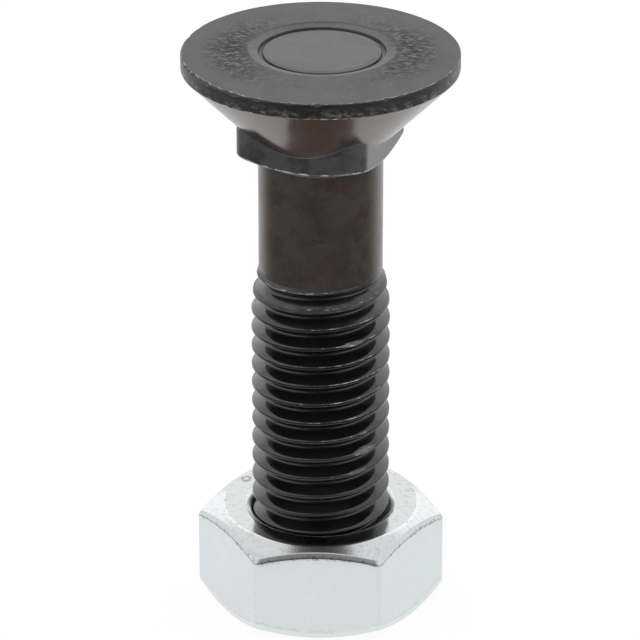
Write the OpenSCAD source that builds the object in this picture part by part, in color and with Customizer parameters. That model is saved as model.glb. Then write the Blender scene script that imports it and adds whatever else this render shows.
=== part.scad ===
// Plow bolt with a flat countersunk head and a square neck, standing on its hex nut.
// Millimetres. Z runs up the bolt's axis, from the nut's foot and the bolt's tip at 0 to the top of the head.
// The thread is a plain cylinder over its crests, and the nut's bore clears it by a named gap.

/* [Bolt] */
// Overall length, from the tip to the top of the head
bolt_l = 50.7; // [42:0.1:90]
// Diameter over the thread's crests
thread_d = 11.9; // [9.5:0.05:14.5]
// Distance from one turn of the thread to the next
thread_pitch = 1.75; // [1:0.05:2.2]
// Length of the thread, from the tip to where its last turn runs out
thread_l = 30.8; // [20:0.1:37]
// Turns over which the thread's crests sink to the plain shank
runout_turns = 2; // [1:0.5:3]
// Diameter of the plain shank
shank_d = 10.6; // [8:0.05:13]
// Width of the chamfer round the tip
tip_chamfer = 1.1; // [0.3:0.1:2]

/* [Head] */
// Diameter of the head
head_d = 23.5; // [19:0.1:32]
// Height of the straight rim between the top and the countersink
rim_h = 1.3; // [0.5:0.05:2.5]
// Width of the broken edge round the top
rim_edge = 0.1; // [0.05:0.05:0.4]
// Full angle of the countersunk cone
head_angle = 89; // [75:1:100]
// Diameter of the recess in the top, at its mouth
recess_d = 12.4; // [8:0.1:16]
// Width of the bevel round the recess
recess_bevel = 0.8; // [0.3:0.05:1.5]
// Depth of the recess
recess_depth = 0.25; // [0.2:0.05:0.6]
// Height of the straight wall at the foot of the recess's bevel
recess_wall = 0.08; // [0.05:0.01:0.19]
// Where the middle of the recess lies from the axis, because the die was not quite centred
recess_at = [-0.15, 0.75]; // [-1:0.05:1]

/* [Neck] */
// Width of the square neck across its flats
neck_w = 11.6; // [11:0.1:14]
// Radius of the neck's four upright corners
neck_corner_r = 1.5; // [0.4:0.1:2]
// Depth of the neck's lower end, below the top of the head, half way along a flat
neck_depth = 8.85; // [7.6:0.05:11]
// Slope of the neck's lower end, up towards its corners
neck_foot_angle = 21; // [5:1:40]

/* [Nut] */
// Width of the nut across its flats
nut_af = 18.7; // [17:0.1:24]
// Depth of the wear on the nut's corners
nut_corner_wear = 0.1; // [0.05:0.05:0.4]
// Height of the nut
nut_h = 8.5; // [6:0.1:13]
// Width of the upper chamfer, in from the flats
nut_top_chamfer = 1.25; // [0.1:0.05:1.4]
// Width of the lower chamfer, in from the flats
nut_foot_chamfer = 0.1; // [0.05:0.05:1.4]
// Slope of both outer chamfers
nut_chamfer_angle = 30; // [15:1:35]
// Width of the countersink at each end of the bore
nut_countersink = 0.6; // [0.2:0.05:0.75]
// Full angle of the bore's countersinks
nut_countersink_angle = 120; // [90:1:120]
// Turn of the nut on the thread, from a corner on +X
nut_turn = 19.1; // [0:0.1:60]

/* [Fit] */
// Gap between the thread's crests and the nut's bore, on the radius
thread_gap = 0.05; // [0.01:0.01:0.1]

/* [Hidden] */
$fn = 96;
// Overshoot of a cutting shape past the face that it cuts
over = 1;

head_r = head_d / 2;
shank_r = shank_d / 2;
thread_r = thread_d / 2;
rim_foot = bolt_l - rim_h;
// Where the countersunk cone would meet the plain shank, inside the neck
cone_foot = rim_foot - (head_r - shank_r) / tan(head_angle / 2);
neck_foot = bolt_l - neck_depth;
// Centres of the neck's corner radii, and its reach over two rounded corners
neck_corner_at = neck_w / 2 - neck_corner_r;
neck_reach = neck_corner_at * sqrt(2) + neck_corner_r;
// Where the neck's sloping lower end would come to a point, inside the shank
neck_tip = neck_foot - neck_w / 2 * tan(neck_foot_angle);
full_thread_l = thread_l - runout_turns * thread_pitch;
// Reach of the nut's corners, sharp and worn
nut_sharp_r = nut_af / 2 / cos(30);
nut_corner_r = nut_sharp_r - nut_corner_wear;
bore_r = thread_r + thread_gap;
mouth_r = bore_r + nut_countersink;
mouth_depth = nut_countersink / tan(nut_countersink_angle / 2);

// Half section of the bolt's round outside, from the top of the head down to the tip
module bolt_section() {
    polygon([
        [0, bolt_l],
        [head_r - rim_edge, bolt_l],
        [head_r, bolt_l - rim_edge],
        [head_r, rim_foot],
        [shank_r, cone_foot],
        [shank_r, thread_l],
        [thread_r, full_thread_l],
        [thread_r, tip_chamfer],
        [thread_r - tip_chamfer, 0],
        [0, 0]
    ]);
}

// Square with round corners, across the neck
module neck_outline() {
    square([neck_w, 2 * neck_corner_at], center = true);
    square([2 * neck_corner_at, neck_w], center = true);
    for (x = [-1, 1], y = [-1, 1])
        translate([x * neck_corner_at, y * neck_corner_at])
            circle(r = neck_corner_r);
}

// Half section of the cone that slopes the neck's lower end, open upwards to the rim
module neck_section() {
    outside = neck_reach + over;
    polygon([
        [0, neck_tip],
        [outside, neck_tip + outside * tan(neck_foot_angle)],
        [outside, rim_foot],
        [0, rim_foot]
    ]);
}

// Square neck from its sloping lower end up into the head
module neck() {
    intersection() {
        translate([0, 0, neck_tip - over])
            linear_extrude(height = rim_foot - neck_tip + 2 * over)
                neck_outline();
        rotate_extrude()
            neck_section();
    }
}

// Half section of the recess: its floor, the low wall round it and the bevel up to its mouth
module recess_section() {
    floor_r = recess_d / 2 - recess_bevel;
    floor_z = bolt_l - recess_depth;
    polygon([
        [0, floor_z],
        [floor_r, floor_z],
        [floor_r, floor_z + recess_wall],
        [recess_d / 2, bolt_l],
        [recess_d / 2, bolt_l + over],
        [0, bolt_l + over]
    ]);
}

// Forged bolt in one piece: recessed flat head, countersunk cone, square neck, shank and thread
module plow_bolt() {
    color([0.14, 0.14, 0.135])
        difference() {
            union() {
                rotate_extrude()
                    bolt_section();
                neck();
            }
            translate(recess_at)
                rotate_extrude()
                    recess_section();
        }
}

// Half section of the nut's turned outside: its two chamfers and its worn corners
module nut_section() {
    top_r = nut_af / 2 - nut_top_chamfer;
    foot_r = nut_af / 2 - nut_foot_chamfer;
    rise = tan(nut_chamfer_angle);
    polygon([
        [0, 0],
        [foot_r, 0],
        [nut_corner_r, (nut_corner_r - foot_r) * rise],
        [nut_corner_r, nut_h - (nut_corner_r - top_r) * rise],
        [top_r, nut_h],
        [0, nut_h]
    ]);
}

// Half section of the nut's bore, countersunk at both ends
module bore_section() {
    polygon([
        [0, -over],
        [mouth_r, -over],
        [mouth_r, 0],
        [bore_r, mouth_depth],
        [bore_r, nut_h - mouth_depth],
        [mouth_r, nut_h],
        [mouth_r, nut_h + over],
        [0, nut_h + over]
    ]);
}

// Hex nut, run on until the bolt's tip is level with its foot
module hex_nut() {
    color([0.80, 0.83, 0.84])
        rotate([0, 0, nut_turn])
            difference() {
                intersection() {
                    cylinder(r = nut_sharp_r, h = nut_h, $fn = 6);
                    rotate_extrude()
                        nut_section();
                }
                rotate_extrude()
                    bore_section();
            }
}

plow_bolt();
hex_nut();
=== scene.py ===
import math

import bpy
import numpy as np
from bpy.props import FloatProperty, FloatVectorProperty, IntProperty, PointerProperty
from bpy.types import Operator, Panel, PropertyGroup
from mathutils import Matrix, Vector


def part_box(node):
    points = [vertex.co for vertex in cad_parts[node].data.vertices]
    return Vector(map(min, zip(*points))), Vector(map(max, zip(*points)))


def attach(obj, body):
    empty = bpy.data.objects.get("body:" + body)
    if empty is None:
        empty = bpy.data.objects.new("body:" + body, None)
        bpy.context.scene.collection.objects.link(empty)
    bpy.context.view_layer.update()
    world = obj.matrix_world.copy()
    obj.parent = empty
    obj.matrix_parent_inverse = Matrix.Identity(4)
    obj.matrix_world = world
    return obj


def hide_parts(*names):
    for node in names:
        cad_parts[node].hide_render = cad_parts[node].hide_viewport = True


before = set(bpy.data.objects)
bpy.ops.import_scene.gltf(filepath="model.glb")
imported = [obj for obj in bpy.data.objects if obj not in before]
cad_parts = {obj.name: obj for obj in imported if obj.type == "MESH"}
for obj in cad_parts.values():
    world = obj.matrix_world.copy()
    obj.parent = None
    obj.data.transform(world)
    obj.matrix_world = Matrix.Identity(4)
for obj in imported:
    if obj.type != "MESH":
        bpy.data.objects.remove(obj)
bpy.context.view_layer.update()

bl_info = {
    "name": "Plow Bolt",
    "version": (1, 0, 0),
    "blender": (4, 5, 0),
    "location": "3D View > Sidebar > Plow Bolt",
    "description": "A black plow bolt standing on its zinc plated hex nut, with a small studio round it",
    "category": "Object",
}

BOLT_LOW, BOLT_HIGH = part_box("plow_bolt")
NUT_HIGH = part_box("hex_nut")[1]

MM = 0.001
TURN = 2 * math.pi
# Rise outwards, for each length along the axis, of a 60 degree thread's flanks and a 120 degree countersink
FLANK_RISE = 1 / math.tan(math.radians(30))
COUNTERSINK_RISE = math.tan(math.radians(60))

# Rows over half a turn of a thread, from its crest's middle on, in halves of the crest's flat
BOLT_THREAD_ROWS = (0, 0.7, 1.0, 1.3, 1.7, 2.4, 3.5, 4.7, 5.7, 6.5, 7.2)
NUT_THREAD_ROWS = (0, 0.9, 1.4, 2.6, 3.9, 5.2, 5.9, 6.6)
# Points of a thread's rows that come closer than this to its ends are joined to them
ROW_SNAP = 0.02 * MM
# Rings over the tip's end, as shares of its radius
TIP_RINGS = (1.0, 0.985, 0.8, 0.5, 0.25)
# How far the columns crowd towards the corners of the neck and of the nut
NECK_CROWDING = 0.5
NUT_CROWDING = 0.72

# Bruised places on the thread's crests: degrees round from +X, height in mm, depth in mm
CREST_NICKS = (
    (-29, 15.76, 0.20), (-48, 21.2, 0.05), (-85, 12.6, 0.04), (-43, 26.06, 0.06),
    (-39, 13.86, 0.04), (60, 14.2, 0.10), (140, 21.1, 0.08), (215, 16.1, 0.06),
)
# Bites in the rim's edge, deep and shallow: spread in radians, number, seed, depth as a share of the deepest
RIM_BITES = ((0.4, 24, 3, 1.0), (0.9, 40, 5, 0.2))
# Width of a bite in radians, before it is varied
BITE_WIDTH = 0.02
# Where most of the nicks in the rim's edge are, and where the thread has been knocked most
NICKED_TOWARDS = math.radians(-118)
KNOCKED_TOWARDS = math.radians(-38)
# Where the press has marked the top: along this direction to both sides, about this radius
PRESSED_TOWARDS = math.radians(20.8)
PRESSED_RADIUS = 7.7 * MM
PRESSED_WIDTH = 1.7 * MM
# Middle of the small round dent in the nut's upper face, and the radii at which its dark ring begins,
# is dark, begins to fade and ends
DENT_AT = (-7.73 * MM, 1.68 * MM, 8.5 * MM)
DENT_RING = (0.12 * MM, 0.30 * MM, 0.34 * MM, 0.60 * MM)

# Roughness and depth of the grain of each of the bolt's zones
ZONE_ROUGHNESS = {"top": 0.32, "rim": 0.38, "cone": 0.165, "neck": 0.16, "shank": 0.26, "thread": 0.085}
ZONE_GRAIN = {"top": 0.5, "rim": 1.3, "cone": 0.10, "neck": 0.22, "shank": 0.45, "thread": 0.12}

# Section of the dark screen in mm, from its inner edge: distance from the axis, and height
SCREEN_SECTION = ((24, 0.2), (36, 0.2), (158, 0.2), (160, 2), (160, 120), (160, 480))
SCREEN_COLUMNS = 97
# Half of the floor's width, and how far it lies under the nut's foot, in metres
FLOOR_HALF = 6.0
FLOOR_DROP = 0.02 * MM
# Direction of the soft boxes behind, as parts ahead, aside and up
SIDE_BOX_TOWARDS = (0.866, 0.5, 0.45)
# Width and height of the soft boxes, and their distance from the bolt's middle, in metres
SIDE_BOX_SIZE = (0.36, 0.6)
TOP_BOX_SIZE = (0.5, 0.5)
BOX_DISTANCE = 0.7
# Width of the camera's sensor in mm
SENSOR_WIDTH = 36
WHITE = (1, 1, 1, 1)


def length(name, description, default):
    """A size in metres that a user may change."""
    return FloatProperty(name=name, description=description, default=default, min=0.0, precision=5,
                         unit="LENGTH", subtype="DISTANCE")


def offset(name, description, default):
    """A distance in metres to either side that a user may change."""
    return FloatProperty(name=name, description=description, default=default, precision=5,
                         unit="LENGTH", subtype="DISTANCE")


def share(name, description, default):
    """A number from 0 to 1 that a user may change."""
    return FloatProperty(name=name, description=description, default=default, min=0.0, max=1.0,
                         subtype="FACTOR")


def amount(name, description, default):
    """A number of 0 or more that a user may change."""
    return FloatProperty(name=name, description=description, default=default, min=0.0)


def angle(name, description, degrees):
    """An angle that a user may change, given in degrees."""
    return FloatProperty(name=name, description=description, default=math.radians(degrees),
                         unit="ROTATION", subtype="ANGLE")


def colour(name, description, default):
    """A linear colour that a user may change."""
    return FloatVectorProperty(name=name, description=description, default=default, size=3, min=0.0, max=1.0,
                               subtype="COLOR")


def columns(description, default):
    """A number of points once round that a user may change."""
    return IntProperty(name="Columns", description=description, default=default, min=36)


class BoltSizes(PropertyGroup):
    """Sizes of the bolt, from the top of its head down to its tip."""
    columns: columns("Points round the bolt, a multiple of four", 188)
    head_diameter: length("Head diameter", "Across the flat top", BOLT_HIGH.y - BOLT_LOW.y)
    top: length("Top", "Height of the flat top over the nut's foot", BOLT_HIGH.z)
    rim_height: length("Rim height", "Straight rim between the top and the cone", 1.3 * MM)
    rim_edge: length("Rim edge", "Broken edge round the top, where it is whole", 0.08 * MM)
    rim_nick: length("Rim nick", "Depth of the deepest nicks in the rim's edge", 0.30 * MM)
    head_angle: angle("Head angle", "Full angle of the countersunk cone", 89)
    forged: length("Forged", "Depth of the ripples that forging left on the head's outside", 0.012 * MM)
    recess_diameter: length("Recess diameter", "Mouth of the shallow recess in the top", 12.4 * MM)
    recess_bevel: length("Recess bevel", "Width of the bevel inside the recess's mouth", 0.8 * MM)
    recess_lip: length("Recess lip", "Width of the broken edge round the recess's mouth", 0.06 * MM)
    recess_depth: length("Recess depth", "From the flat top down to the recess's floor", 0.22 * MM)
    recess_dish: length("Recess dish", "Width of the floor's border, which dips to the groove", 0.43 * MM)
    recess_dip: length("Recess dip", "How far that border dips", 0.05 * MM)
    bevel_foot: length("Bevel foot", "Height of the bevel's lower edge over the recess's floor", 0.02 * MM)
    groove_width: length("Groove width", "Of the groove round the recess's floor", 0.44 * MM)
    groove_depth: length("Groove depth", "Of that groove, under the recess's floor", 0.30 * MM)
    groove_lean: length("Groove lean", "How far each wall of that groove leans in", 0.06 * MM)
    recess_x: offset("Recess X", "How far the middle of the recess lies off the axis along X", -0.15 * MM)
    recess_y: offset("Recess Y", "How far the middle of the recess lies off the axis along Y", 0.75 * MM)
    neck_width: length("Neck width", "Across the flats of the square neck", 11.6 * MM)
    neck_corner: length("Neck corner", "Radius of the neck's upright corners", 1.5 * MM)
    neck_depth: length("Neck depth", "From the flat top to the neck's foot, half way along a flat", 8.85 * MM)
    neck_slope: angle("Neck slope", "Of the neck's lower end, up towards its corners", 21)
    neck_edge: length("Neck edge", "Radius round the neck's lower end", 0.22 * MM)
    neck_fillet: length("Neck fillet", "Radius between the neck's lower end and the shank", 0.4 * MM)
    shank_diameter: length("Shank diameter", "Of the plain shank under the neck", 10.6 * MM)
    thread_diameter: length("Thread diameter", "Over the crests", 11.9 * MM)
    root_diameter: length("Root diameter", "Across the bottom of the thread's grooves", 9.76 * MM)
    pitch: length("Pitch", "From one turn of the thread to the next", 1.75 * MM)
    crest_flat: length("Crest flat", "Width of the flat along a full crest", 0.22 * MM)
    crest_round: length("Crest rounding", "Width over which the crests' edges are rounded", 0.03 * MM)
    root_round: length("Root rounding", "Width over which the grooves' bottoms are rounded", 0.08 * MM)
    last_groove: length("Last groove", "How much wider the last groove is to each side", 0.2 * MM)
    runout_foot: length("Run-out foot", "Height at which the crests begin to sink", 27.0 * MM)
    runout_top: length("Run-out top", "Height at which the last groove has closed", 31.1 * MM)
    tip_chamfer: length("Tip chamfer", "Width of the chamfer round the tip", 1.1 * MM)


class BoltWear(PropertyGroup):
    """How far the bolt is worn bare along its edges, partly as painted highlights, and how far its thread is
    scuffed grey.
    """
    # Rim and neck foot lay on worn steel and a painted highlight along these edges; scallop lays on only a
    # painted highlight along the concave line between the cone and the neck.
    rim: share("Rim", "Bare steel along the rim's upper edge", 0.85)
    rim_foot: share("Rim foot", "Bare steel along the rim's lower edge", 0.75)
    neck_foot: share("Neck foot", "Bare steel round the neck's lower end", 0.8)
    scallop_highlight: share("Scallop", "Bare steel along the line between the cone and the neck", 0.5)
    crest: share("Crest", "Bare steel along the crests, where they were knocked most", 0.8)
    knocked_least: share("Knocked least", "Share of that on the side away from the knocks", 0.45)
    runout: share("Run-out", "Bare steel on the crests that sink into the shank", 0.57)
    bruise: share("Bruise", "Bare steel in the thread's bruises", 0.6)
    shank_end: share("Shank end", "Bare steel along the last groove, where the shank ends", 0.85)
    crest_scuff: share("Crest scuff", "Grey along the upper edges of the crests", 0.36)
    lower_scuff: share("Lower scuff", "Grey along the lower edges of the crests", 0.06)
    runout_scuff: share("Run-out scuff", "Grey on the crests that sink into the shank", 0.4)
    bruise_scuff: amount("Bruise scuff", "Grey in the thread's bruises", 1.6)
    sheltered: share("Sheltered", "Share of the crests' wear that is left beside the nut", 0.3)
    sheltered_top: length("Sheltered top", "Height at which the crests' wear is whole", 19 * MM)


class BlackFinish(PropertyGroup):
    """Colours and gloss of the bolt's black finish."""
    black: colour("Black", "Blackened steel", (0.0065, 0.0065, 0.0062))
    brown: colour("Brown", "Warm bloom on the shank and under the head", (0.043, 0.033, 0.023))
    grey: colour("Grey", "Duller steel on the square neck and in the recess", (0.054, 0.055, 0.053))
    rust: colour("Rust", "Reddish spots in the brown", (0.043, 0.016, 0.009))
    # Scuff also colours the painted glints between the pressed strokes.
    scuff: colour("Scuff", "Dull grey scuffs in the black", (0.10, 0.098, 0.088))
    # Bare also colours the painted highlights along the head's and the neck's edges.
    bare: colour("Bare steel", "Steel laid bare on edges and crests", (0.50, 0.49, 0.46))
    index: amount("Index", "Refractive index of the black's surface", 1.65)
    rustiness: share("Rustiness", "How strong the reddish spots are", 0.8)
    cone_brown: share("Cone brown", "How brown the cone is, next to the shank", 0.3)
    pressed_rough: share("Pressed roughness", "How much rougher the pressed strokes are", 0.5)
    pressed_deep: amount("Pressed depth", "How deep the pressed strokes are, next to the grain", 2.2)
    runout_rough: share("Run-out roughness", "How much rougher the sinking crests are", 0.35)
    corner_rough: share("Corner roughness", "How much rougher the neck's corners are", 0.2)
    bare_rough: share("Bare roughness", "How much rougher the bare steel is", 0.3)
    bare_metal: share("Bare metal", "How metallic the bare steel is", 0.4)
    relief: share("Relief", "Strength of the grain", 0.4)
    relief_depth: length("Relief depth", "Height of the grain", 0.02 * MM)


class NutSizes(PropertyGroup):
    """Sizes of the hex nut."""
    columns: columns("Points round the nut, a multiple of six", 240)
    flats: length("Across flats", "Between opposite flats", 18.7 * MM)
    corner: length("Corner radius", "Of the six upright corners", 0.66 * MM)
    height: length("Height", "From the foot to the upper face", NUT_HIGH.z)
    turn: angle("Turn", "Of a corner round from +X", 19.1)
    upper_face: length("Upper face", "Diameter at which the upper face turns into its chamfer", 16.8 * MM)
    upper_slope: angle("Upper slope", "Of the upper chamfer, down to its bend", 26)
    upper_round: length("Upper rounding", "Radius between the upper face and its chamfer", 0.7 * MM)
    bend: length("Bend", "How far in from the flats the upper chamfer turns steeper", 0.30 * MM)
    bend_slope: angle("Bend slope", "Of the upper chamfer below its bend", 52)
    bend_round: length("Bend rounding", "Radius of the upper chamfer's bend", 0.3 * MM)
    arc_round: length("Arc rounding", "Radius between the upper chamfer and the flats", 0.25 * MM)
    foot_face: length("Foot face", "Diameter of the flat foot", 18.5 * MM)
    foot_slope: angle("Foot slope", "Of the lower chamfer", 30)
    low_round: length("Low rounding", "Radius between the flats and the lower chamfer", 0.12 * MM)
    foot_round: length("Foot rounding", "Radius between the lower chamfer and the foot", 0.08 * MM)
    mouth: length("Mouth", "Diameter of the countersink at each end of the bore", 13.2 * MM)
    mouth_round: length("Mouth rounding", "Over which the countersinks' inner edges are rounded", 0.03 * MM)
    bore: length("Bore", "Diameter over the inner thread's crests", 10.36 * MM)
    groove: length("Groove", "Diameter across the bottom of the inner thread's grooves", 12.1 * MM)
    thread_round: length("Thread rounding", "Over which the inner thread's edges are rounded", 0.06 * MM)
    play: length("Play", "Gap from the bolt's flanks, measured out from the axis", 0.09 * MM)


class ZincFinish(PropertyGroup):
    """Colours and gloss of the nut's zinc plating, with painted light and shade among the colours."""
    zinc: colour("Zinc", "Plating on the flats", (0.68, 0.735, 0.75))
    warm: colour("Warm", "Yellowish clouds in the plating", (0.71, 0.745, 0.74))
    pink: colour("Pink", "Faint pinkish clouds in the plating", (0.71, 0.72, 0.745))
    # Upper and face are shaded and lit copies of the plating: painted shade darkens the upper chamfer, and
    # painted light lightens the upper face.
    upper: colour("Upper", "Duller plating on the upper chamfer", (0.64, 0.665, 0.67))
    face: colour("Face", "Plating on the upper face", (0.74, 0.76, 0.76))
    # Light is a painted highlight: it lightens the lowest part of the flats, next to the white floor.
    light: colour("Light", "Brighter plating along the foot", (0.76, 0.80, 0.80))
    pit: colour("Pits", "Pits and specks along the plating's edges", (0.20, 0.21, 0.21))
    # The bore colour is painted shade: it darkens the countersinks and the thread inside the nut, where shade
    # falls.
    bore: colour("Bore", "Dull unplated steel inside the nut", (0.035, 0.030, 0.024))
    edge_pits: share("Edge pits", "How dark the pits are along the edges", 0.7)
    upper_pits: share("Upper pits", "How dark they are on the upper side", 0.22)
    flat_pits: share("Flat pits", "How dark they are on the flats", 0.03)
    pit_depth: amount("Pit depth", "How deep the pits are, next to the fine speckle", 8.0)
    dent: share("Dent", "How dark the ring round the dent is", 0.75)
    painted_foot_highlight: share("Foot light", "How bright the band along the foot is", 0.8)
    foot_line: share("Foot line", "How dark the line over that band is", 0.22)
    flat_rough: share("Flat roughness", "Of the flats and the chamfers", 0.20)
    face_rough: share("Face roughness", "Of the upper face", 0.14)
    bore_rough: share("Bore roughness", "Of the steel inside the nut", 0.5)
    flat_metal: share("Flat metal", "How metallic the flats are; the upper side is all metal", 0.78)
    relief: share("Relief", "Strength of the speckle", 0.03)
    relief_depth: length("Relief depth", "Height of the speckle", 0.02 * MM)


class Studio(PropertyGroup):
    """Camera, floor, lamps and the dark screen on the camera's side, which paints shade into reflections."""
    azimuth: angle("Azimuth", "Of the camera, round from the side that looks along +Y", 20.8)
    elevation: angle("Elevation", "Of the camera over the floor", 24.97)
    distance: length("Distance", "From the camera to the point it looks at", 386.2 * MM)
    aim_height: length("Aim height", "Height of the point that the camera looks at", 25.98 * MM)
    aim_left: length("Aim left", "How far that point lies to the left of the axis", 0.057 * MM)
    lens: amount("Lens", "Focal length in millimetres", 253.1)
    ambient: share("Ambient", "Strength of the surroundings' soft light", 0.95)
    floor_glow: share("Floor glow", "How much of the floor's white is its own", 0.9)
    floor_white: amount("Floor white", "Radiance of the floor's own white", 1.016)
    floor_pale: share("Floor pale", "How pale the part of the floor is that takes the shadow", 0.9)
    left_lamp: amount("Left lamp", "Radiance of the soft box behind on the left", 0.35)
    right_lamp: amount("Right lamp", "Radiance of the soft box behind on the right", 0.35)
    top_lamp: amount("Top lamp", "Radiance of the soft box overhead", 1.0)
    screen_turn: angle("Screen turn", "Of the screen's middle, round from the camera to the right", -4)
    screen_dark: angle("Screen dark", "How far its lying part is dark, from its middle to each side", 92)
    screen_end: angle("Screen end", "Where its lying part has faded to white", 137)
    wall_dark: angle("Wall dark", "How far its standing part is dark, from its middle to each side", 5)
    wall_end: angle("Wall end", "Where its standing part has faded to white", 65)
    screen_grey: share("Screen grey", "How light the dark screen is", 0.10)


# Curves and surfaces

def smooth_min(a, b, width):
    """The lesser of two values, with the corner where they cross rounded over a width: half of their sum
    less the root of their squared difference and the squared width."""
    return (a + b - np.sqrt((a - b) ** 2 + width ** 2)) / 2


def smooth_max(a, b, width):
    """The greater of two values, with the corner where they cross rounded over a width."""
    return -smooth_min(-a, -b, width)


def ease(low, high, value):
    """0 below low, 1 above high, and the smooth cubic step between them."""
    t = np.clip((value - low) / (high - low), 0, 1)
    return t * t * (3 - 2 * t)


def bell(distance, width):
    """1 at no distance, falling away on both sides: e to the power of minus the squared share of the
    width."""
    return np.exp(-(distance / width) ** 2)


def crowded_angles(count, sides, first, crowding):
    """Angles once round that crowd towards a polygon's corners, which stand at first and every 1/sides
    turn on: an even angle t less crowding / sides times the sine of sides times its distance from a
    corner."""
    even = np.arange(count) * TURN / count
    return even - crowding / sides * np.sin(sides * (even - first))


def polygon_radius(around, sides, first, inner, corner):
    """Radius of a regular polygon with rounded corners: the straight side at inner / cos(a) from the
    axis, a being the angle from the nearest side's middle, and past the side's end the arc of the
    corner's circle."""
    wedge = TURN / sides
    half = wedge / 2
    off = np.mod(around - first, wedge) - half
    side = inner / np.cos(off)
    centre = (inner - corner) / math.cos(half)
    from_corner = half - np.abs(off)
    across = centre * np.sin(from_corner)
    arc = centre * np.cos(from_corner) + np.sqrt(np.maximum(corner ** 2 - across ** 2, 0))
    side_end = math.atan((inner - corner) * math.tan(half) / inner)
    return np.where(np.abs(off) < side_end, side, arc)


def ripples(around, along, waves, seed):
    """Unevenness about 0: the sum of cosine waves that run once to waves times round the axis, each
    climbing at its own rate along the surface, with seeded phases, over the root of their number."""
    dice = np.random.default_rng(seed)
    total = np.zeros(np.broadcast(around, along).shape)
    for turns in range(1, waves + 1):
        climb, phase = dice.uniform(-1, 1), dice.uniform(0, TURN)
        total = total + np.cos(turns * around + climb * waves * along + phase)
    return total / math.sqrt(waves)


def notches(around, middle, spread, count, width, seed):
    """Depth of 0 to 1 of small bites in an edge: narrow bell curves, of seeded widths and depths, at
    seeded angles that gather about middle."""
    dice = np.random.default_rng(seed)
    places = middle + dice.normal(0, spread, count)
    depths = dice.uniform(0.2, 1, count)
    widths = width * dice.uniform(0.5, 1.5, count)
    off = np.angle(np.exp(1j * (around[:, None] - places)))
    return np.clip((depths * bell(off, widths)).sum(axis=1), 0, 1)


def unit(vectors):
    """Vectors scaled to length 1."""
    return vectors / np.linalg.norm(vectors, axis=-1, keepdims=True)


def corner_arc(before, here, after, rounding, steps):
    """Points of the arc that rounds a corner, from where it touches the side before to where it touches
    the side after, in even steps round its centre, which lies on the line that halves the corner."""
    back, ahead = unit(before - here), unit(after - here)
    half = np.arccos(np.clip((back * ahead).sum(axis=-1, keepdims=True), -1, 1)) / 2
    centre = here + unit(back + ahead) * rounding / np.sin(half)
    first = here + back * rounding / np.tan(half) - centre
    last = here + ahead * rounding / np.tan(half) - centre
    sweep = math.pi - 2 * half
    return [centre + (np.sin((1 - t) * sweep) * first + np.sin(t * sweep) * last) / np.sin(sweep)
            for t in np.linspace(0, 1, steps + 1)]


def rounded_section(outline):
    """Rows along a half section, one (radius, height) for every column: straight sides from corner to
    corner, with each corner between the first and the last replaced by an arc. A corner is its radius,
    its height, its rounding, the steps over its arc and the steps along the side that leads to it. These
    crowd towards the side's ends."""
    count = max(np.size(value) for corner in outline for value in corner[:2])
    points = [np.stack([np.broadcast_to(value, count) for value in corner[:2]], axis=-1)
              for corner in outline]
    rows = [points[0]]
    for k in range(1, len(outline)):
        rounding, arc_steps, side_steps = outline[k][2:]
        arc = [points[k]]
        if k + 1 < len(outline):
            arc = corner_arc(points[k - 1], points[k], points[k + 1], rounding, arc_steps)
        start = rows[-1]
        crowded = (1 - np.cos(np.pi * np.arange(1, side_steps + 1) / side_steps)) / 2
        rows += [start + (arc[0] - start) * t for t in crowded]
        rows += arc[1:]
    return np.array(rows)


def turned(radius, around, height):
    """Points at a radius, an angle and a height."""
    return np.stack(np.broadcast_arrays(radius * np.cos(around), radius * np.sin(around), height), axis=-1)


def polar(points):
    """Angle, radius and height of points."""
    return np.arctan2(points[:, 1], points[:, 0]), np.hypot(points[:, 0], points[:, 1]), points[:, 2]


def thread_phase(around, height, pitch):
    """Distance along the axis from the middle of a right-hand thread's nearest groove. A crest passes
    height 0 at the +X side and climbs a pitch each turn to the left."""
    turns = height / pitch - around / TURN
    return np.abs(np.mod(turns, 1) - 0.5) * pitch


def half_groove(bolt):
    """Half of the width of a groove's flat bottom: what a pitch leaves beside the crest's flat and both
    flanks."""
    depth = (bolt.thread_diameter - bolt.root_diameter) / 2
    return (bolt.pitch - bolt.crest_flat) / 2 - depth / FLANK_RISE


def climbing_rows(around, bolt, row_steps, high, low):
    """Rows that climb with the bolt's thread, top row first: each turn's height plus each step of the
    section, plus a pitch for every turn round. Gives the angles and heights of the points between low and
    high, a grid of their numbers from 0, and which of the grid's points lie above and below."""
    upper = np.array(row_steps) * bolt.crest_flat / 2
    steps = np.concatenate([upper[::-1], -upper[1:], [-bolt.pitch / 2]])
    turns = np.arange(math.ceil(high / bolt.pitch) + 1, math.floor(low / bolt.pitch) - 3, -1)
    height = (turns[:, None] * bolt.pitch + steps).reshape(-1, 1) + bolt.pitch * around / TURN
    above, below = height > high - ROW_SNAP, height < low + ROW_SNAP
    inside = ~(above | below)
    number = np.zeros(height.shape, int)
    number[inside] = np.arange(inside.sum())
    return np.broadcast_to(around, height.shape)[inside], height[inside], number, above, below


def grid_of_numbers(first, rows, count):
    """Point numbers of rows of count points, from the first on."""
    return first + np.arange(rows * count).reshape(rows, count)


def quads_between(index, turn_rows=0):
    """Faces between neighbouring rows and columns of a grid of point numbers. At the seam each row runs
    on into the row turn_rows above it, as a thread's turns do."""
    ahead = np.roll(index, -1, axis=1)
    if turn_rows:
        ahead[turn_rows:, -1] = index[:-turn_rows, 0]
        ahead[:turn_rows, -1] = index[0, 0]
    corners = [index[:-1], index[1:], ahead[1:], ahead[:-1]]
    return np.stack(corners, axis=-1).reshape(-1, 4)


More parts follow.
